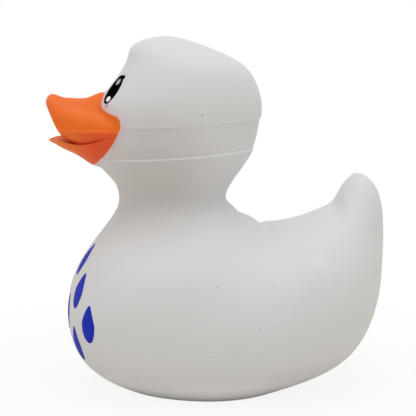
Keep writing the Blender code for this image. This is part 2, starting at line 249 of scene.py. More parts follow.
@dataclass(frozen=True)
class PaintedVinyl:
    """Plasticised PVC from a rotary mould, with the bill sprayed in vinyl paint through a mask.

    Bare vinyl is satin and a little translucent, so light spreads softly in it. It keeps level flow marks
    from the turning mould, a fine grain, soft clouds of warmer white, rub marks and a few grains of dust. A
    painted highlight runs along the lower mould line, where light would catch its ledge. Painted shade
    darkens the vinyl under the head, and painted light makes it paler towards the foot. The paint fills most
    of the grain. Painted shade makes it deeper below the bill's crease and in the mouth, and painted
    highlights lie on it as paler flecks. Its mist tints the vinyl beside the mask's edge, partly as a painted
    glow of orange light scattered onto the white. The grain and the ripples are drawn coarser and deeper than
    the real ones, because those are too fine to show in the render.
    """

    colour: str = "DEDFE0"
    warm_colour: str = "DCDBD9"
    # Painted shade: darker, warmer vinyl under the head and round the neck.
    neck_shade_colour: str = "CDC8C5"
    # Painted light: paler vinyl towards the foot, standing in for light from the floor.
    foot_light_colour: str = "F4F4F3"
    # Paint mist beside the bill, partly a painted glow of orange light scattered onto the white.
    mist_and_glow_colour: str = "DDBBC0"
    smudge_colour: str = "B4989A"
    dust_colour: str = "6E6A66"
    paint_colour: str = "EF7227"
    # Painted shade: deeper, darker orange below the bill's crease and in the mouth.
    shaded_paint_colour: str = "EB5D31"
    # Painted highlights: paler orange flecks on the bill's paint.
    paint_highlight_colour: str = "F79A72"
    roughness: float = 0.52
    specular_level: float = 0.1
    translucence: float = 0.12
    paint_translucence: float = 0.45
    scatter_mm: tuple[float, float, float] = (2.6, 2.0, 1.7)
    cloud_mm: float = 26.0
    mottle_mm: float = 4.0
    mottle_tones: tuple[float, float] = (0.96, 1.03)
    edge_mm: float = 0.07
    edge_wobble_mm: float = 0.05
    edge_wave_mm: float = 1.8
    # Reach and strength of the paint mist and its painted glow.
    mist_and_glow_reach: tuple[float, float] = (-2.8, 0.2)
    mist_and_glow_strength: float = 0.32
    # Where the painted shade of the mouth lies: heights below the crease, and its reach from a line across
    # the mouth.
    mouth_shade_levels: tuple[float, float] = (61.2, 61.6)
    mouth_shade_place: tuple[float, float] = (-24.0, 56.5)
    mouth_shade_reach: tuple[float, float] = (4.0, 12.5)
    # Where the painted shade under the head lies: a line across the neck, and how far from it the shade
    # fades.
    neck_shade_place: tuple[float, float] = (-15.0, 52.0)
    neck_shade_reach: tuple[float, float] = (3.0, 20.0)
    # Heights over which the painted light at the foot fades.
    foot_light_levels: tuple[float, float] = (2.5, 8.0)
    # The painted highlight along the lower mould line: its level, slope, reach and strength.
    worn_level: float = 56.38
    worn_slope: float = 0.06
    worn_reach: tuple[float, float] = (0.06, 0.3)
    worn_strength: float = 0.3
    rub_grain_mm: float = 0.4
    rub_strength: float = 0.2
    ripple_mm: float = 1.5
    ripple_length_mm: float = 45.0
    ripple_height_mm: float = 0.13
    ripple_core: float = 0.4
    ripple_bands: tuple[tuple[float, float], ...] = ((9.0, 24.0), (36.0, 47.0), (54.0, 60.5))
    flow_slope: float = 0.05
    flow_lines: tuple[tuple[float, float, float], ...] = (
        (13.4, 0.5, 0.08),
        (16.6, 0.6, 0.035),
        (19.4, 0.7, 0.03),
    )
    grain_mm: float = 0.55
    grain_height_mm: float = 0.006
    paint_filling: float = 0.85
    specks: tuple[Speck, ...] = (
        Speck((19.7, -3.1, 65.9), 0.18),
        Speck((11.9, 4.3, 39.9), 0.11),
        Speck((9.5, 37.8, 38.4), 0.12),
        Speck((30.7, 0.2, 28.8), 0.1),
        Speck((29.3, 12.6, 28.5), 0.1),
        Speck((32.6, 9.6, 19.8), 0.12),
        Speck((20.0, 15.2, 35.2), 0.1),
        Speck((-18.5, 2.1, 70.2), 0.18),
        Speck((-30.9, -6.0, 24.6), 0.16),
    )
    rubs: tuple[Speck, ...] = (Speck((24.4, 23.4, 32.6), 1.9, 0.6), Speck((-27.0, 10.5, 31.0), 1.8, 0.6))
    smudges: tuple[Speck, ...] = (Speck((9.9, -25.0, 67.5), 0.95, 0.7), Speck((-9.9, -25.0, 67.5), 0.95, 0.7))
    # Painted highlights on the bill's paint, as paler flecks.
    paint_highlights: tuple[Speck, ...] = (
        Speck((11.7, -31.4, 60.3), 0.32, 0.6),
        Speck((10.1, -31.7, 57.8), 0.26, 0.6),
        Speck((2.7, -33.1, 68.3), 0.25, 0.6),
    )

    def bare_colour(self, recipe: Recipe, reach: NodeSocket) -> Node:
        """Colour of the vinyl with clouds, marks, dust, paint mist with its painted glow, and painted shade
        and light.

        Args:
            recipe: the material that is mixed.
            reach: how far inside the paint's edge the point lies, in millimetres.

        Returns:
            The node of the colour.
        """
        tree, place = recipe.tree, recipe.place
        clouds = add_node(tree, "TexNoise", {}, lumps(place, self.cloud_mm))
        height = add_node(tree, "SeparateXYZ", {}, {"Vector": place}).outputs["Z"]
        rub_grain = add_node(tree, "TexNoise", {}, lumps(place, self.rub_grain_mm, 3.0))
        patchy = add_node(tree, "Math", MULTIPLY, {0: recipe.spots(self.rubs), 1: rub_grain})
        rubbed = add_node(tree, "Math", MULTIPLY, {0: patchy, 1: self.rub_strength})
        # Painted highlight along the lower mould line, where light would catch its ledge.
        edge = recipe.fade(recipe.off_level(self.worn_level, self.worn_slope), *self.worn_reach)
        worn = add_node(tree, "Math", MULTIPLY, {0: edge, 1: self.worn_strength})
        # Paint mist beside the paint's edge, partly a painted glow of light scattered from the orange.
        mist_and_glow = add_node(tree, "MapRange", {"interpolation_type": "SMOOTHERSTEP"},
                        span(reach, self.mist_and_glow_reach, (0.0, self.mist_and_glow_strength)))
        return recipe.layers(
            self.colour,
            (clouds, self.warm_colour),
            # painted shade under the head
            (recipe.fade(recipe.beside(self.neck_shade_place), *self.neck_shade_reach), self.neck_shade_colour),
            # painted light, paler towards the foot
            (recipe.fade(height, *self.foot_light_levels), self.foot_light_colour),
            (recipe.spots(self.smudges), self.smudge_colour),
            (rubbed, WHITE),
            # painted highlight along the lower mould line
            (worn, WHITE),
            # paint mist and painted glow
            (mist_and_glow, self.mist_and_glow_colour),
            (recipe.spots(self.specks), self.dust_colour),
        )

    def coat_colour(self, recipe: Recipe) -> Node:
        """Colour of the paint, mottled by the spray, with painted shade in the mouth and painted highlights.

        Args:
            recipe: the material that is mixed.

        Returns:
            The node of the colour.
        """
        tree, place = recipe.tree, recipe.place
        height = add_node(tree, "SeparateXYZ", {}, {"Vector": place}).outputs["Z"]
        # Painted shade: the paint turns deeper below the crease and in the mouth.
        below = recipe.fade(height, *self.mouth_shade_levels)
        inside = recipe.fade(recipe.beside(self.mouth_shade_place), *self.mouth_shade_reach)
        mouth_shade = add_node(tree, "Math", MULTIPLY, {0: below, 1: inside})
        # over the paint: the painted shade of the mouth, then painted highlights as paler flecks
        coats = recipe.layers(
            self.paint_colour, (mouth_shade, self.shaded_paint_colour), (recipe.spots(self.paint_highlights), self.paint_highlight_colour)
        )
        mottle = add_node(tree, "TexNoise", {}, lumps(place, self.mottle_mm, 3.0))
        tone = add_node(tree, "MapRange", {}, span(mottle, NOISE_SPAN, self.mottle_tones))
        return add_node(tree, "HueSaturation", {}, {"Color": coats, "Value": tone})

    def relief(self, recipe: Recipe, painted: Node) -> Node:
        """Bump of the skin: bands of level ripples, a few flow lines, and a grain that the paint fills.

        Args:
            recipe: the material that is mixed.
            painted: 1 under the paint and 0 on bare vinyl.

        Returns:
            The node of the normal.
        """
        tree, place = recipe.tree, recipe.place
        stretch = self.ripple_mm / self.ripple_length_mm
        level = add_node(
            tree, "Mapping", {},
            {"Vector": place, "Rotation": (-self.flow_slope, 0.0, 0.0), "Scale": (stretch, stretch, 1.0)},
        )
        ripples = add_node(tree, "TexNoise", {}, lumps(level, self.ripple_mm))
        heights = []
        for low, high in self.ripple_bands:
            half = (high - low) / 2
            band = recipe.fade(recipe.off_level(low + half, self.flow_slope), self.ripple_core * half, half)
            rippled = add_node(tree, "Math", MULTIPLY, {0: ripples, 1: band})
            heights.append((rippled, self.ripple_height_mm))
        for line, width, depth in self.flow_lines:
            apart = span(recipe.off_level(line, self.flow_slope), (0.0, width * MM))
            heights.append((add_node(tree, "MapRange", SMOOTH, apart), depth))
        noise = add_node(tree, "TexNoise", {}, lumps(place, self.grain_mm, 1.0))
        left = add_node(tree, "MapRange", {}, span(painted, end=(1.0, 1 - self.paint_filling)))
        grain = add_node(tree, "Math", MULTIPLY, {0: noise, 1: left})
        heights.append((grain, self.grain_height_mm))
        below = {}
        for height, size_mm in heights:
            inputs = {"Height": height, "Strength": 1.0, "Distance": size_mm * MM, **below}
            below = {"Normal": add_node(tree, "Bump", {}, inputs)}
        return below["Normal"]

    def material(self) -> Material:
        """Make the vinyl with its painted bill."""
        recipe = Recipe("painted_soft_vinyl")
        tree = recipe.tree
        written = add_node(tree, "Attribute", {"attribute_name": BILL_REACH}).outputs["Fac"]
        wave = add_node(tree, "TexNoise", {}, lumps(recipe.place, self.edge_wave_mm, 0.0))
        wobble = add_node(tree, "MapRange", {},
                          span(wave, SMOOTH_NOISE_SPAN, (-self.edge_wobble_mm, self.edge_wobble_mm)))
        reach = add_node(tree, "Math", {"operation": "ADD"}, {0: written, 1: wobble})
        painted = add_node(tree, "MapRange", {}, span(reach, (-self.edge_mm, self.edge_mm)))
        mixed = {0: painted, 6: self.bare_colour(recipe, written), 7: self.coat_colour(recipe)}
        colour = add_node(tree, "Mix", COLOURS, mixed)
        scatter = add_node(tree, "MapRange", {},
                           span(painted, end=(self.translucence, self.paint_translucence)))
        return recipe.finished(add_node(tree, "BsdfPrincipled", {}, {
            "Base Color": colour,
            "Roughness": self.roughness,
            "IOR": PLASTIC_IOR,
            "Specular IOR Level": self.specular_level,
            "Subsurface Weight": scatter,
            "Subsurface Radius": self.scatter_mm,
            "Subsurface Scale": MM,
            "Normal": self.relief(recipe, painted),
        }))


@dataclass(frozen=True)
class PrintInk:
    """Pad-printed vinyl ink: one dense matt film, with the faint unevenness that the soft pad leaves.

    The pad's marks are drawn coarser than the real ones, because those are too fine to show in the render.
    """

    name: str
    colour: str
    roughness: float = 0.55
    specular_level: float = 0.25
    unevenness: float = 0.05
    pad_mm: float = 1.4
    relief_mm: float = 0.003

    def material(self) -> Material:
        """Make the ink, or find it if it is made."""
        if self.name in bpy.data.materials:
            return bpy.data.materials[self.name]
        recipe = Recipe(self.name)
        tree = recipe.tree
        pad = add_node(tree, "TexNoise", {}, lumps(recipe.place, self.pad_mm, 3.0))
        tones = (1 - self.unevenness, 1 + self.unevenness)
        tone = add_node(tree, "MapRange", {}, span(pad, NOISE_SPAN, tones))
        colour = add_node(tree, "HueSaturation", {}, {"Color": linear(self.colour), "Value": tone})
        bump = add_node(tree, "Bump", {},
                        {"Height": pad, "Strength": 1.0, "Distance": self.relief_mm * MM})
        return recipe.finished(add_node(tree, "BsdfPrincipled", {}, {
            "Base Color": colour,
            "Roughness": self.roughness,
            "IOR": PLASTIC_IOR,
            "Specular IOR Level": self.specular_level,
            "Normal": bump,
        }))


EYE_BLACK = PrintInk("black_eye_ink", "060607", roughness=0.7, specular_level=0.0)
GLINT_WHITE = PrintInk("white_glint_ink", WHITE, unevenness=0.0)
GLINT_GREY = PrintInk("grey_glint_ink", "ACAFB3")
FEATHER_BLUE = PrintInk("blue_feather_ink", "1129B4", specular_level=0.08)


@dataclass(frozen=True)
class Zone:
    """One part of the duck, with the box that its stations are drawn in."""

    middle: float
    foot: float
    length: float
    height: float
    width: float

    def place(self, share: tuple[float, float]) -> tuple[float, float]:
        """Point (y, z) from a share of the length off the middle and a share of the height."""
        along, up = share
        return self.middle + along * self.length, self.foot + up * self.height


@dataclass(frozen=True)
class Station:
    """A ring of the skin: its front and back points, its width, and how square its flanks are."""

    zone: Zone
    front: tuple[float, float]
    back: tuple[float, float]
    width: float
    bilge: float = 0.0


class Spline:
    """A smooth curve through rows of numbers, one unit of its parameter apart."""

    def __init__(self, rows: list, closed: bool) -> None:
        """Solve for the bends of the curve.

        Args:
            rows: the numbers that the curve passes through.
            closed: whether the last row leads back to the first.
        """
        self.rows = np.array(rows, float)
        self.closed = closed
        count = len(self.rows)
        one = np.eye(count)
        weights = 4 * one + np.roll(one, 1, 0) + np.roll(one, -1, 0)
        bends = 6 * (np.roll(self.rows, -1, 0) - 2 * self.rows + np.roll(self.rows, 1, 0))
        if not closed:
            weights[[0, -1]] = one[[0, -1]]
            bends[[0, -1]] = 0
        self.bends = np.linalg.solve(weights, bends)

    def at(self, parameter: float) -> np.ndarray:
        """The row at a parameter, which wraps round on a closed curve."""
        count = len(self.rows)
        start = math.floor(parameter)
        if not self.closed:
            start = min(start, count - 2)
        part = parameter - start
        rest = 1 - part
        first, second = start % count, (start + 1) % count
        straight = rest * self.rows[first] + part * self.rows[second]
        return straight + ((rest**3 - rest) * self.bends[first] + (part**3 - part) * self.bends[second]) / 6


def turns(count: int) -> list[float]:
    """Angles that divide a circle evenly."""
    return [2 * math.pi * number / count for number in range(count)]


def loft(
    rings: list[list[Vector]], first_pole: Vector | None = None, last_pole: Vector | None = None
) -> BMesh:
    """Bridge rings of points into a closed shape.

    Args:
        rings: the rings, each with as many points as the others.
        first_pole: the point that the first ring is drawn to, or None for a flat cap.
        last_pole: the same for the last ring.

    Returns:
        The bmesh, with its faces pointing out.
    """
    mesh = bmesh.new()
    loops = []
    for points in rings:
        circle = bmesh.ops.create_circle(mesh, segments=len(points), radius=1)["verts"]
        for vertex, point in zip(circle, points):
            vertex.co = point
        loops.append([mesh.edges.get((circle[i - 1], circle[i])) for i in range(len(circle))])
    for loop, following in zip(loops, loops[1:]):
        bmesh.ops.bridge_loops(mesh, edges=loop + following)
    for loop, pole in ((loops[0], first_pole), (loops[-1], last_pole)):
        cap = bmesh.ops.contextual_create(mesh, geom=loop)["faces"]
        if pole is not None:
            centre = bmesh.ops.poke(mesh, faces=cap)["verts"][0]
            centre.co = pole
    bmesh.ops.recalc_face_normals(mesh, faces=mesh.faces)
    return mesh


def sink(depths: dict[BMVert, float]) -> None:
    """Move vertices in along their own normals.

    Args:
        depths: how far each vertex goes.
    """
    for vertex, step in {vertex: vertex.normal * depth for vertex, depth in depths.items()}.items():
        vertex.co -= step


def cut_level(mesh: BMesh, height: float) -> None:
    """Cut a closed shape off flat at a height, and close the cut.

    Args:
        mesh: the shape.
        height: where it is cut.
    """
    whole = [*mesh.verts, *mesh.edges, *mesh.faces]
    plane = {"plane_co": (0, 0, height), "plane_no": (0, 0, 1)}
    cut = bmesh.ops.bisect_plane(mesh, geom=whole, clear_inner=True, **plane)
    edges = [item for item in cut["geom_cut"] if isinstance(item, BMEdge)]
    bmesh.ops.contextual_create(mesh, geom=edges)
    bmesh.ops.recalc_face_normals(mesh, faces=mesh.faces)


def make_object(name: str, mesh: BMesh, *materials: Material) -> Object:
    """Turn a shape drawn in millimetres into an object in metres at the origin.

    Args:
        name: the object's name.
        mesh: the shape, which is freed.
        materials: its material slots.

    Returns:
        The object, shaded smooth.
    """
    bmesh.ops.scale(mesh, vec=(MM, MM, MM), verts=mesh.verts)
    data = bpy.data.meshes.new(name)
    mesh.to_mesh(data)
    mesh.free()
    for material in materials:
        data.materials.append(material)
    data.shade_smooth()
    made = bpy.data.objects.new(name, data)
    bpy.context.scene.collection.objects.link(made)
    return made


def combine(target: Object, other: Object, join: Join) -> None:
    """Join another object to the target or cut it out, and remove the other.

    Args:
        target: the object that changes.
        other: the second shape.
        join: what is done with it.
    """
    change = target.modifiers.new("join", "BOOLEAN")
    change.object = other
    change.operation = join.value
    change.solver = "EXACT"
    change.material_mode = "TRANSFER"
    graph = bpy.context.evaluated_depsgraph_get()
    joined = bpy.data.meshes.new_from_object(target.evaluated_get(graph), depsgraph=graph)
    target.modifiers.clear()
    before = target.data
    target.data = joined
    bpy.data.meshes.remove(before)
    bpy.data.objects.remove(other)


@dataclass(frozen=True)
class MouldLine:
    """A tilted ring round the head where parts of the mould met, by its level at y = 0."""

    level: float
    slope: float
    width: float

    def above(self, point: Vector) -> float:
        """How far a point lies above the middle of the line."""
        return point.z - self.level - self.slope * point.y


@dataclass
class Skin:
    """The outside of the duck's head, neck, body and tail, as a fan of rings between two poles."""

    body: Zone
    neck: Zone
    head: Zone
    tail: Zone
    crown: tuple[float, float] = (-0.078, 1.0)
    tail_tip: tuple[float, float] = (-0.01, 0.985)
    crown_round: float = 1.05
    tail_tip_round: float = 0.95
    rings: int = 250
    sides: int = 176
    hollow_rings: int = 34
    hollow_sides: int = 24
    solid_stations: float = 1.4
    wall: float = 2.0
    floor: float = 2.4
    upper_line: MouldLine = MouldLine(63.5, 0.052, 0.22)
    lower_line: MouldLine = MouldLine(56.4, 0.06, 0.34)
    band_depth: float = 0.34
    line_margin: float = 4.0

    def stations(self) -> list[Station]:
        """The lofting table, from the crown to the tip of the tail."""
        head, neck, body, tail = self.head, self.neck, self.body, self.tail
        return [
            Station(head, (-0.249, 0.942), (0.125, 0.949), 0.41),
            Station(head, (-0.294, 0.834), (0.352, 0.832), 0.755),
            Station(head, (-0.364, 0.695), (0.46, 0.699), 0.925),
            Station(head, (-0.45, 0.55), (0.503, 0.54), 1.0),
            Station(head, (-0.50, 0.375), (0.497, 0.38), 0.99),
            Station(head, (-0.495, 0.15), (0.457, 0.197), 0.905),
            Station(neck, (-0.565, 0.97), (0.607, 1.042), 1.125),
            Station(neck, (-0.50, 0.69), (0.50, 0.61), 1.0),
            Station(neck, (-0.528, 0.30), (0.563, 0.387), 1.285),
            Station(body, (-0.409, 0.90), (0.057, 1.069), 0.71),
            Station(body, (-0.465, 0.712), (0.0945, 1.038), 0.86),
            Station(body, (-0.491, 0.461), (0.129, 0.992), 0.96, 0.02),
            Station(body, (-0.442, 0.15), (0.1635, 1.0), 0.995, 0.03),
            Station(body, (-0.271, -0.049), (0.201, 1.016), 1.0, 0.03),
            Station(body, (-0.045, -0.112), (0.242, 1.036), 0.985, 0.035),
            Station(body, (0.174, -0.031), (0.278, 1.066), 0.92, 0.03),
            Station(body, (0.376, 0.144), (0.315, 1.103), 0.785, 0.02),
            Station(body, (0.476, 0.45), (0.347, 1.148), 0.60),
            Station(tail, (0.49, -0.02), (-0.51, 0.788), 1.0),
            Station(tail, (0.513, 0.467), (-0.375, 0.893), 0.635),
            Station(tail, (0.35, 0.83), (-0.22, 0.966), 0.325),
        ]

    def ring_maker(self, sides: int) -> tuple[Callable[[float], list[Vector]], int]:
        """Prepare the splines of the skin.

        Args:
            sides: the number of points in a ring.

        Returns:
            A function that gives the ring at a station, and the number of the last station.
        """
        table = self.stations()
        fronts = [row.zone.place(row.front) for row in table]
        backs = [row.zone.place(row.back) for row in table]
        crown, tip = self.head.place(self.crown), self.tail.place(self.tail_tip)
        profile = Spline([crown, *fronts, tip, *reversed(backs)], closed=True)
        forms = [
            (row.width * row.zone.width / math.dist(near, far), row.bilge)
            for row, near, far in zip(table, fronts, backs)
        ]
        ends = (self.crown_round, 0), (self.tail_tip_round, 0)
        form = Spline([ends[0], *forms, ends[1], *reversed(forms)], closed=True)
        last = len(table) + 1

        def ring(station: float) -> list[Vector]:
            """Points of the ring at a station."""
            front = profile.at(station)
            back = profile.at((2 * last - station) % (2 * last))
            roundness, bilge = form.at(station)
            half_width = roundness * np.linalg.norm(back - front) / 2
            points = []
            for turn in turns(sides):
                across = half_width * (math.sin(turn) + bilge * math.sin(3 * turn)) / (1 - bilge)
                y, z = front + (back - front) * (1 - math.cos(turn)) / 2
                points.append(Vector((across, y, z)))
            return points

        return ring, last

    def outside(self) -> BMesh:
        """The plain outside, cut off flat where it stands."""
        ring, last = self.ring_maker(self.sides)
        rings = [ring(last * step / self.rings) for step in range(1, self.rings)]
        mesh = loft(
            rings, Vector((0, *self.head.place(self.crown))), Vector((0, *self.tail.place(self.tail_tip)))
        )
        cut_level(mesh, 0)
        return mesh

    def hollow(self) -> BMesh:
        """The space inside the skin, which ends where the tail fills in."""
        ring, last = self.ring_maker(self.hollow_sides)
        reach = last - 1 - self.solid_stations
        shapes = [ring(reach * step / self.hollow_rings) for step in range(1, self.hollow_rings + 1)]
        mesh = loft(shapes, Vector((0, *self.head.place(self.crown))))
        mesh.normal_update()
        sink({vertex: self.wall for vertex in mesh.verts})
        cut_level(mesh, self.floor)
        return mesh

    def press_mould_lines(self, mesh: BMesh) -> None:
        """Sink the band between the two mould lines round the head by a hair.

        Args:
            mesh: the outside of the skin, which is changed.
        """
        for line in (self.upper_line, self.lower_line):
            for side in (0.5, -0.5):
                near = [
                    face for face in mesh.faces
                    if abs(line.above(face.calc_center_median())) < self.line_margin
                ]
                edges = {edge for face in near for edge in face.edges}
                corners = {vertex for face in near for vertex in face.verts}
                bmesh.ops.bisect_plane(
                    mesh,
                    geom=[*corners, *edges, *near],
                    plane_co=(0, 0, line.level + side * line.width),
                    plane_no=Vector((0, -line.slope, 1)).normalized(),
                )
        mesh.normal_update()
        depths = {}
        for vertex in mesh.verts:
            under_top = 0.5 - self.upper_line.above(vertex.co) / self.upper_line.width
            over_bottom = 0.5 + self.lower_line.above(vertex.co) / self.lower_line.width
            share = min(under_top, over_bottom, 1)
            if share > 0:
                depths[vertex] = self.band_depth * share
        sink(depths)


@dataclass
class Bill:
    """The open bill: two lofts that grow out of the head."""

    head: Zone
    upper_reach: float = 31.4
    upper_width: float = 31.6
    upper_edge: float = 11.7
    upper_rise: float = 8.7
    upper_keel: float = 5.0
    upper_lip: float = 0.71
    lower_reach: float = 30.9
    lower_width: float = 28.4
    lower_rim: float = 9.8
    lower_depth: float = 8.5
    lower_tip: float = -0.10
    ridge_share: float = 0.62
    edge_roll: float = 0.028
    edge_roll_height: float = 0.7
    roll_start: float = 0.4
    roll_run: float = 0.12
    wing_power: float = 4.0
    keel_power: float = 3.8
    hull_power: float = 0.8
    rings: int = 70
    sides: int = 120

    def upper_stations(self) -> list[tuple[float, ...]]:
        """The upper bill from root to lip: reach, width, edge, wing, ridge and keel."""
        return [
            (0.25, 1.0, 0.02, 0.45, 0.55, 1.0),
            (0.41, 1.0, 0.01, 0.43, 0.57, 1.0),
            (0.56, 0.925, 0.0, 0.46, 0.54, 1.02),
            (0.68, 0.855, -0.01, 0.55, 0.30, 1.0),
            (0.79, 0.76, -0.01, 0.63, 0.20, 0.68),
            (0.88, 0.62, 0.06, 0.64, 0.15, 0.32),
            (0.95, 0.39, 0.46, 0.40, 0.07, 0.26),
        ]

    def lower_stations(self) -> list[tuple[float, ...]]:
        """The lower bill from root to tip: reach, width, rim, dish and hull."""
        return [
            (0.28, 1.04, 0.13, 0.08, 1.215),
            (0.46, 1.0, 0.075, 0.08, 1.115),
            (0.58, 0.91, -0.055, 0.06, 0.865),
            (0.67, 0.82, -0.14, 0.04, 0.655),
            (0.77, 0.72, -0.155, 0.04, 0.395),
            (0.87, 0.61, -0.09, 0.05, 0.29),
            (0.945, 0.44, -0.06, 0.04, 0.17),
        ]

    def upper_ring(self, row: np.ndarray) -> list[Vector]:
        """Ring of the upper bill: a ridge on broad wings above its rolled edge, and a keel below it."""
        reach, width, edge, wing, ridge, keel = row
        y = self.head.middle - reach * self.upper_reach
        edge_z = self.head.foot + self.upper_edge + self.upper_rise * edge
        rolled = self.edge_roll * min(1, max(0, (reach - self.roll_start) / self.roll_run))
        points = []
        for turn in turns(self.sides):
            across = math.cos(turn)
            if math.sin(turn) >= 0:
                bell = 0.5 + 0.5 * math.cos(math.pi * min(1, abs(across) / self.ridge_share))
                wings = math.sqrt(max(0, 1 - across**self.wing_power))
                rise = self.upper_rise * (wing * wings + ridge * bell)
            else:
                rise = -self.upper_keel * keel * (1 - abs(across) ** self.keel_power)
            roll = 1 + rolled * max(0, 1 - abs(rise) / self.edge_roll_height) ** 2
            points.append(Vector((across * width * roll * self.upper_width / 2, y, edge_z + rise)))
        return points

    def lower_ring(self, row: np.ndarray) -> list[Vector]:
        """Ring of the lower bill: a shallow dish between its rims, and a hull below them."""
        reach, width, rim, dish, hull = row
        y = self.head.middle - reach * self.lower_reach
        rim_z = self.head.foot + self.lower_rim + self.lower_depth * rim
        points = []
        for turn in turns(self.sides):
            across = math.cos(turn)
            depth = max(0, 1 - across**2)
            share = dish * depth if math.sin(turn) >= 0 else hull * depth**self.hull_power
            half_width = width * self.lower_width / 2
            points.append(Vector((across * half_width, y, rim_z - self.lower_depth * share)))
        return points

    def half(
        self, stations: list[tuple[float, ...]], tip: float, ring: Callable[[np.ndarray], list[Vector]]
    ) -> BMesh:
        """Loft one half of the bill.

        Args:
            stations: its rows from the root.
            tip: how far its round tip lies above its edge's own height, as the rows give it.
            ring: the method that draws a row.

        Returns:
            The bmesh.
        """
        tip_row = (1.0, 0.0, tip) + (0.0,) * (len(stations[0]) - 3)
        far_side = [(row[0], -row[1], row[2], *(-size for size in row[3:])) for row in reversed(stations)]
        spline = Spline([*stations, tip_row, *far_side], closed=False)
        last = len(stations)
        rows = [spline.at(last * step / self.rings) for step in range(self.rings)]
        pole = ring(spline.at(last))[0]
        pole.x = 0
        return loft([ring(row) for row in rows], last_pole=pole)


@dataclass
class SprayMask:
    """The edge of the bill's paint, the same on both sides.

    Above the mouth's corners it is drawn as it shows from straight ahead. Below them the mask curves
    forward under the throat, round an arc that is drawn from the side.
    """

    edge: tuple[tuple[float, float], ...] = (
        (0.0, 70.3), (3.9, 69.2), (7.2, 67.3), (10.2, 66.35), (13.6, 65.6), (15.6, 64.6), (16.0, 62.6),
        (16.3, 60.2), (15.4, 57.0), (12.0, 53.0), (6.0, 50.0), (0.0, 49.4),
    )
    throat_middle: tuple[float, float] = (-41.2, 70.0)
    throat_radius: float = 20.75
    ahead_of: float = -15.0
    half_width: float = 19.0
    levels: tuple[float, float] = (47.0, 74.0)
    samples: int = 12
    far: float = 3.0

    def outline(self) -> np.ndarray:
        """Points (across, up) all round the edge."""
        right = list(self.edge)
        left = [(-across, up) for across, up in reversed(right[1:-1])]
        curve = Spline([*right, *left], closed=True)
        return np.array([curve.at(step / self.samples) for step in range(len(curve.rows) * self.samples)])

    def reach(self, points: np.ndarray) -> np.ndarray:
        """How far inside the edge points of the casting lie.

        Args:
            points: rows of x, y and z.

        Returns:
            A distance in millimetres for each, less than 0 outside the edge.
        """
        near = (
            (points[:, 1] < self.ahead_of)
            & (abs(points[:, 0]) < self.half_width)
            & (points[:, 2] > self.levels[0])
            & (points[:, 2] < self.levels[1])
        )
        flat = points[near][:, None, ::2]
        start = self.outline()
        end = np.roll(start, -1, 0)
        along = end - start
        share = np.clip(((flat - start) * along).sum(2) / (along**2).sum(1), 0, 1)
        gap = np.linalg.norm(flat - start - share[..., None] * along, axis=2).min(1)
        spans = (start[:, 1] > flat[..., 1]) != (end[:, 1] > flat[..., 1])
        rise = np.where(along[:, 1] == 0, 1.0, along[:, 1])
        crossing = start[:, 0] + (flat[..., 1] - start[:, 1]) / rise * along[:, 0]
        inside = (spans & (flat[..., 0] < crossing)).sum(1) % 2 == 1
        depth = np.full(len(points), -self.far)
        depth[near] = np.where(inside, gap, -gap)
        before_throat = self.throat_radius - np.linalg.norm(points[:, 1:] - self.throat_middle, axis=1)
        return np.clip(np.minimum(depth, before_throat), -self.far, self.far)


@dataclass
class PrintField:
    """A film of ink on the skin, cast onto it from straight ahead of its centre."""

    name: str
    ink: PrintInk
    outline: Outline
    centre: Vector
    outward: Vector
    proud: float = 0.05
    sunk: float = 0.12
    lead: float = 20.0
    rings: int = 10

    def build(self, skin: BVHTree) -> Object:
        """Cast the outline onto the skin and give the film its thickness.

        Args:
            skin: the surface that the film lies on, in millimetres.

        Returns:
            The film.
        """
        outward = self.outward.normalized()
        right = Vector((0, 0, 1)).cross(outward).normalized()
        up = outward.cross(right)
        mesh = bmesh.new()
        sides = len(self.outline)
        bmesh.ops.create_circle(mesh, cap_ends=True, cap_tris=True, segments=sides, radius=1)
        spokes = [edge for edge in mesh.edges if not edge.is_boundary]
        bmesh.ops.subdivide_edges(mesh, edges=spokes, cuts=self.rings - 1, use_grid_fill=True)
        for vertex in mesh.verts:
            across, along = self.spread(vertex.co.x, vertex.co.y)
            vertex.co = self.centre + across * right + along * up
            hit = skin.ray_cast(vertex.co + self.lead * outward, -outward)[0]
            if hit is not None:
                vertex.co = hit
        lifted = set(bmesh.ops.extrude_face_region(mesh, geom=mesh.faces[:], use_keep_orig=True)["geom"])
        for vertex in mesh.verts:
            normal = skin.find_nearest(vertex.co)[1]
            vertex.co += normal * (self.proud if vertex in lifted else -self.sunk)
        bmesh.ops.recalc_face_normals(mesh, faces=mesh.faces)
        return make_object(self.name, mesh, self.ink.material())

    def spread(self, x: float, y: float) -> tuple[float, float]:
        """Point of the outline's field that a point of the unit disc stands for."""
        place = math.atan2(y, x) % math.tau / math.tau * len(self.outline)
        first = int(place) % len(self.outline)
        here, following = Vector(self.outline[first]), Vector(self.outline[(first + 1) % len(self.outline)])
        return tuple(math.hypot(x, y) * here.lerp(following, place - int(place)))


def ellipse(width: float, height: float, sides: int, lean: float) -> Outline:
    """Outline of an ellipse.

    Args:
        width: across.
        height: up.
        sides: the number of points.
        lean: how far its top leans to the right, in radians.

    Returns:
        Points (across, up).
    """
    over, along = math.sin(lean), math.cos(lean)
    points = []
    for turn in turns(sides):
        across, up = width / 2 * math.cos(turn), height / 2 * math.sin(turn)
        points.append((across * along + up * over, up * along - across * over))
    return points


def feather_outline(width: float, length: float, sides: int) -> Outline:
    """Outline of a small breast feather: round below and drawn out to a point above.

    Args:
        width: across.
        length: up.
        sides: the number of points.

    Returns:
        Points (across, up).
    """
    points = []
    for turn in turns(sides):
        up = math.sin(turn)
        half = width / 2 * (1 - max(0, up) / 2)
        points.append((half * math.cos(turn), length / 2 * up))
    return points


@dataclass(frozen=True)
class EyeMark:
    """One print of the eye, placed by where it shows from straight ahead."""

    name: str
    ink: PrintInk
    width: float
    height: float
    lean: float
    across: float
    level: float
    proud: float


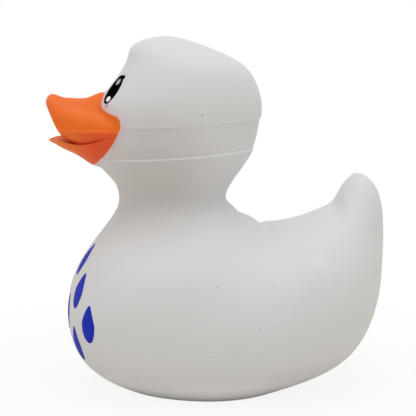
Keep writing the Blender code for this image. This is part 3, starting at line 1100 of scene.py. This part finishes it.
@dataclass
class Eyes:
    """The printed eyes: a black oval, a white glint low down, a grey one near its top and a lash."""

    head: Zone
    marks: tuple[EyeMark, ...] = (
        EyeMark("eye", EYE_BLACK, 6.6, 7.9, -0.06, 8.4, 21.3, 0.05),
        EyeMark("eye_low_glint", GLINT_WHITE, 2.2, 1.35, 0.0, 9.55, 19.0, 0.08),
        EyeMark("eye_high_glint", GLINT_GREY, 2.0, 1.7, 0.0, 8.4, 22.9, 0.08),
        EyeMark("eye_lash", EYE_BLACK, 1.6, 0.8, 0.5, 9.35, 24.1, 0.05),
    )
    sides: int = 48

    def build(self, skin: BVHTree) -> list[Object]:
        """Print both eyes.

        Args:
            skin: the outside of the head.

        Returns:
            The films of ink.
        """
        films = []
        for side in Side:
            for mark in self.marks:
                ahead = self.head.middle - self.head.length
                start = Vector((side.value * mark.across, ahead, self.head.foot + mark.level))
                centre, outward, _, _ = skin.ray_cast(start, Vector((0, 1, 0)))
                outline = ellipse(mark.width, mark.height, self.sides, mark.lean * side.value)
                name = f"{side.name.lower()}_{mark.name}"
                films.append(PrintField(name, mark.ink, outline, centre, outward, mark.proud).build(skin))
        return films


@dataclass
class BreastFeathers:
    """Rows of small printed feathers across the breast, set out by their bearing from straight ahead."""

    body: Zone
    width: float = 5.4
    length: float = 8.6
    sides: int = 64
    rows: tuple[tuple[float, tuple[float, ...]], ...] = (
        (31.0, (-12.5, 12.5)),
        (25.0, (-25.0, 0.0, 25.0)),
        (18.6, (-37.0, -12.5, 12.5, 37.0)),
        (12.4, (-25.0, 0.0, 25.0)),
    )

    def build(self, skin: BVHTree) -> list[Object]:
        """Print every feather.

        Args:
            skin: the outside of the body.

        Returns:
            The films of ink.
        """
        films = []
        outline = feather_outline(self.width, self.length, self.sides)
        for row, (height, bearings) in enumerate(self.rows, 1):
            for place, bearing in enumerate(bearings, 1):
                turn = math.radians(bearing)
                direction = Vector((math.sin(turn), -math.cos(turn), 0))
                start = Vector((0, self.body.middle, height)) + direction * self.body.length
                centre, outward, _, _ = skin.ray_cast(start, -direction)
                name = f"breast_feather_{row}_{place}"
                films.append(PrintField(name, FEATHER_BLUE, outline, centre, outward).build(skin))
        return films


@dataclass
class Duck:
    """The whole casting with its print."""

    vent: float = 3.0
    vent_dish: float = 10.0
    vent_dish_depth: float = 0.6
    vent_sides: int = 64
    clearance: float = 0.04
    root_round: float = 1.3
    root_passes: int = 12
    contact: float = 0.002
    sharp_angle: float = 38.0

    def zones(self) -> tuple[Zone, Zone, Zone, Zone]:
        """The boxes of body, neck, head and tail, with the widest and the highest taken from the frame."""
        low, high = CAD_BOX
        width, top = (high[0] - low[0]) / MM - self.clearance, high[2] / MM - self.clearance / 2
        body = Zone(middle=1.86, foot=0.0, length=77.0, height=38.0, width=width)
        neck = Zone(middle=-10.54, foot=38.0, length=26.0, height=12.0, width=27.2)
        head = Zone(middle=-9.34, foot=50.0, length=40.4, height=top - 50.0, width=41.0)
        tail = Zone(middle=35.36 - self.clearance, foot=28.5, length=10.4, height=22.5, width=27.0)
        return body, neck, head, tail

    def drill(self, casting: Object, middle: float, floor: float) -> None:
        """Cut the vent and its shallow dish into the floor.

        Args:
            casting: the duck.
            middle: where the vent lies along Y.
            floor: the thickness of the floor.
        """
        for diameter, top in ((self.vent, 2 * floor), (self.vent_dish, self.vent_dish_depth)):
            mesh = bmesh.new()
            radii = {"radius1": diameter / 2, "radius2": diameter / 2}
            bmesh.ops.create_cone(mesh, cap_ends=True, segments=self.vent_sides, depth=top + floor, **radii)
            bmesh.ops.translate(mesh, verts=mesh.verts, vec=(0, middle, (top - floor) / 2))
            combine(casting, make_object("drill", mesh), Join.TAKE_AWAY)

    def find_roots(self, casting: Object, skin: BVHTree, halves: list[BVHTree]) -> KDTree:
        """Find the line along which the bill's halves grow out of the head.

        Args:
            casting: the skin and the bill, joined.
            skin: the outside of the duck without its bill.
            halves: the halves of the bill.

        Returns:
            The points of that line, in millimetres.
        """
        found = []
        for vertex in casting.data.vertices:
            point = vertex.co / MM
            if skin.find_nearest(point, self.contact)[0] is None:
                continue
            if any(half.find_nearest(point, self.contact)[0] is not None for half in halves):
                found.append(point)
        roots = KDTree(len(found))
        for number, point in enumerate(found):
            roots.insert(point, number)
        roots.balance()
        return roots

    def ease_roots(self, casting: Object, roots: KDTree) -> None:
        """Let the bill's roots run out onto the head in a small hollow curve.

        Args:
            casting: the duck, whose mesh is changed.
            roots: the line along which the bill meets the head.
        """
        mesh = bmesh.new()
        mesh.from_mesh(casting.data)
        weights = {}
        for vertex in mesh.verts:
            gap = roots.find(vertex.co / MM)[2]
            if gap < self.root_round:
                weights[vertex] = 0.5 * (1 - (gap / self.root_round) ** 2)
        for _ in range(self.root_passes):
            moved = {}
            for vertex, weight in weights.items():
                around = [edge.other_vert(vertex).co for edge in vertex.link_edges]
                middle = sum(around, Vector()) / len(around)
                moved[vertex] = vertex.co.lerp(middle, weight)
            for vertex, place in moved.items():
                vertex.co = place
        mesh.to_mesh(casting.data)
        mesh.free()

    def finish(self, casting: Object, roots: KDTree, mask: SprayMask) -> None:
        """Mark the sharp edges of the casting and write how far the bill's paint reaches.

        Args:
            casting: the duck, whose mesh is changed.
            roots: the line along which the bill meets the head, which stays smooth.
            mask: the edge of the paint.
        """
        mesh = bmesh.new()
        mesh.from_mesh(casting.data)
        for face in mesh.faces:
            face.smooth = True
        for edge in mesh.edges:
            if edge.is_manifold and edge.calc_face_angle() > math.radians(self.sharp_angle):
                middle = (edge.verts[0].co + edge.verts[1].co) / 2 / MM
                edge.smooth = roots.find(middle)[2] < self.root_round
        layer = mesh.verts.layers.float.new(BILL_REACH)
        reach = mask.reach(np.array([vertex.co[:] for vertex in mesh.verts]) / MM)
        for vertex, depth in zip(mesh.verts, reach):
            vertex[layer] = depth
        mesh.to_mesh(casting.data)
        mesh.free()

    def build(self) -> list[Object]:
        """Build the casting and print on it.

        Returns:
            The pieces.
        """
        body, neck, head, tail = self.zones()
        skin = Skin(body, neck, head, tail)
        bill = Bill(head)
        vinyl = PaintedVinyl().material()
        outside = skin.outside()
        surface = BVHTree.FromBMesh(outside)
        films = [*Eyes(head).build(surface), *BreastFeathers(body).build(surface)]
        halves = [
            bill.half(bill.upper_stations(), bill.upper_lip, bill.upper_ring),
            bill.half(bill.lower_stations(), bill.lower_tip, bill.lower_ring),
        ]
        skin.press_mould_lines(outside)
        pressed = BVHTree.FromBMesh(outside)
        half_trees = [BVHTree.FromBMesh(half) for half in halves]
        casting = make_object("duck_casting", outside, vinyl)
        for half in halves:
            combine(casting, make_object("bill_half", half, vinyl), Join.ADD)
        roots = self.find_roots(casting, pressed, half_trees)
        self.ease_roots(casting, roots)
        combine(casting, make_object("hollow", skin.hollow(), vinyl), Join.TAKE_AWAY)
        self.drill(casting, body.middle, skin.floor)
        self.finish(casting, roots, SprayMask())
        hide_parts(CASTING)
        return [casting, *films]


@dataclass
class Studio:
    """A pale floor, soft light from all round and the camera at the photograph's viewing angle."""

    eye_mm: tuple[float, float, float] = (291.0, -1.84, 82.0)
    pitch_degrees: float = 7.8
    focal_pixels: float = 1207.0
    picture_pixels: float = 416.0
    sensor_mm: float = 36.0
    nearest: float = 0.01
    floor_size: float = 12.0
    floor_colour: str = "F2EEE8"
    near_white: float = 0.88
    shadow_radius: tuple[float, float] = (0.045, 0.12)
    sky_strength: float = 0.6
    lamp_place: tuple[float, float, float] = (0.12, 0.02, 1.0)
    lamp_size: float = 1.1
    lamp_power: float = 5.0

    def camera(self) -> None:
        """Set the camera where the photograph was taken from, off the duck's left side."""
        data = bpy.data.cameras.new("camera")
        data.sensor_fit = "HORIZONTAL"
        data.sensor_width = self.sensor_mm
        data.lens = self.focal_pixels * self.sensor_mm / self.picture_pixels
        data.clip_start = self.nearest
        made = bpy.data.objects.new("camera", data)
        pitch = math.radians(self.pitch_degrees)
        made.location = Vector(self.eye_mm) * MM
        sight = Vector((-math.cos(pitch), 0, -math.sin(pitch)))
        made.rotation_euler = sight.to_track_quat("-Z", "Y").to_euler()
        bpy.context.scene.collection.objects.link(made)
        bpy.context.scene.camera = made

    def floor(self) -> None:
        """Lay a pale floor that keeps the duck's shadow and turns to plain white away from it."""
        mesh = bmesh.new()
        bmesh.ops.create_grid(mesh, x_segments=1, y_segments=1, size=self.floor_size / MM / 2)
        recipe = Recipe("matt_white_floor")
        tree = recipe.tree
        away = add_node(tree, "VectorMath", {"operation": "LENGTH"}, {0: recipe.place})
        tones = span(away, self.shadow_radius, (self.near_white, 1.0))
        white = add_node(tree, "MapRange", SMOOTH, tones)
        seen = add_node(tree, "LightPath").outputs["Is Camera Ray"]
        share = add_node(tree, "Math", MULTIPLY, {0: seen, 1: white})
        matt = add_node(tree, "BsdfDiffuse", {}, {"Color": linear(self.floor_colour)})
        glow = add_node(tree, "Emission", {}, {"Color": linear(WHITE), "Strength": 1.0})
        shown = add_node(tree, "MixShader", {}, {0: share, 1: matt, 2: glow})
        make_object("floor", mesh, recipe.finished(shown))

    def world(self) -> None:
        """Light everything softly from all round, and show white behind the duck and in its gloss."""
        world = bpy.data.worlds.new("studio")
        world.use_nodes = True
        bpy.context.scene.world = world
        tree = world.node_tree
        tree.nodes.clear()
        ray = add_node(tree, "LightPath").outputs
        mirror = add_node(tree, "Math", LARGER, {0: ray["Is Glossy Ray"], 1: ray["Is Transmission Ray"]})
        direct = add_node(tree, "Math", LARGER, {0: mirror, 1: ray["Is Camera Ray"]})
        strength = add_node(tree, "MapRange", {}, span(direct, end=(self.sky_strength, 1.0)))
        light = add_node(tree, "Background", {}, {"Color": linear(WHITE), "Strength": strength})
        add_node(tree, "OutputWorld", {}, {"Surface": light})

    def lamp(self) -> None:
        """Hang one large soft lamp over the duck."""
        data = bpy.data.lights.new("overhead", "AREA")
        data.shape = "SQUARE"
        data.size = self.lamp_size
        data.energy = self.lamp_power
        made = bpy.data.objects.new("overhead", data)
        made.location = self.lamp_place
        made.rotation_euler = (-Vector(self.lamp_place)).to_track_quat("-Z", "Y").to_euler()
        bpy.context.scene.collection.objects.link(made)

    def build(self) -> None:
        """Set the whole studio."""
        self.camera()
        self.floor()
        self.world()
        self.lamp()
        bpy.context.scene.view_settings.view_transform = "Standard"


def main() -> None:
    """Build the duck and its studio, and ride every piece on the frame."""
    logging.basicConfig(level=logging.INFO, format="%(name)s: %(message)s")
    for piece in Duck().build():
        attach(piece, BODY)
        LOG.info("%s: %d faces", piece.name, len(piece.data.polygons))
    Studio().build()


if __name__ == "__main__":
    main()
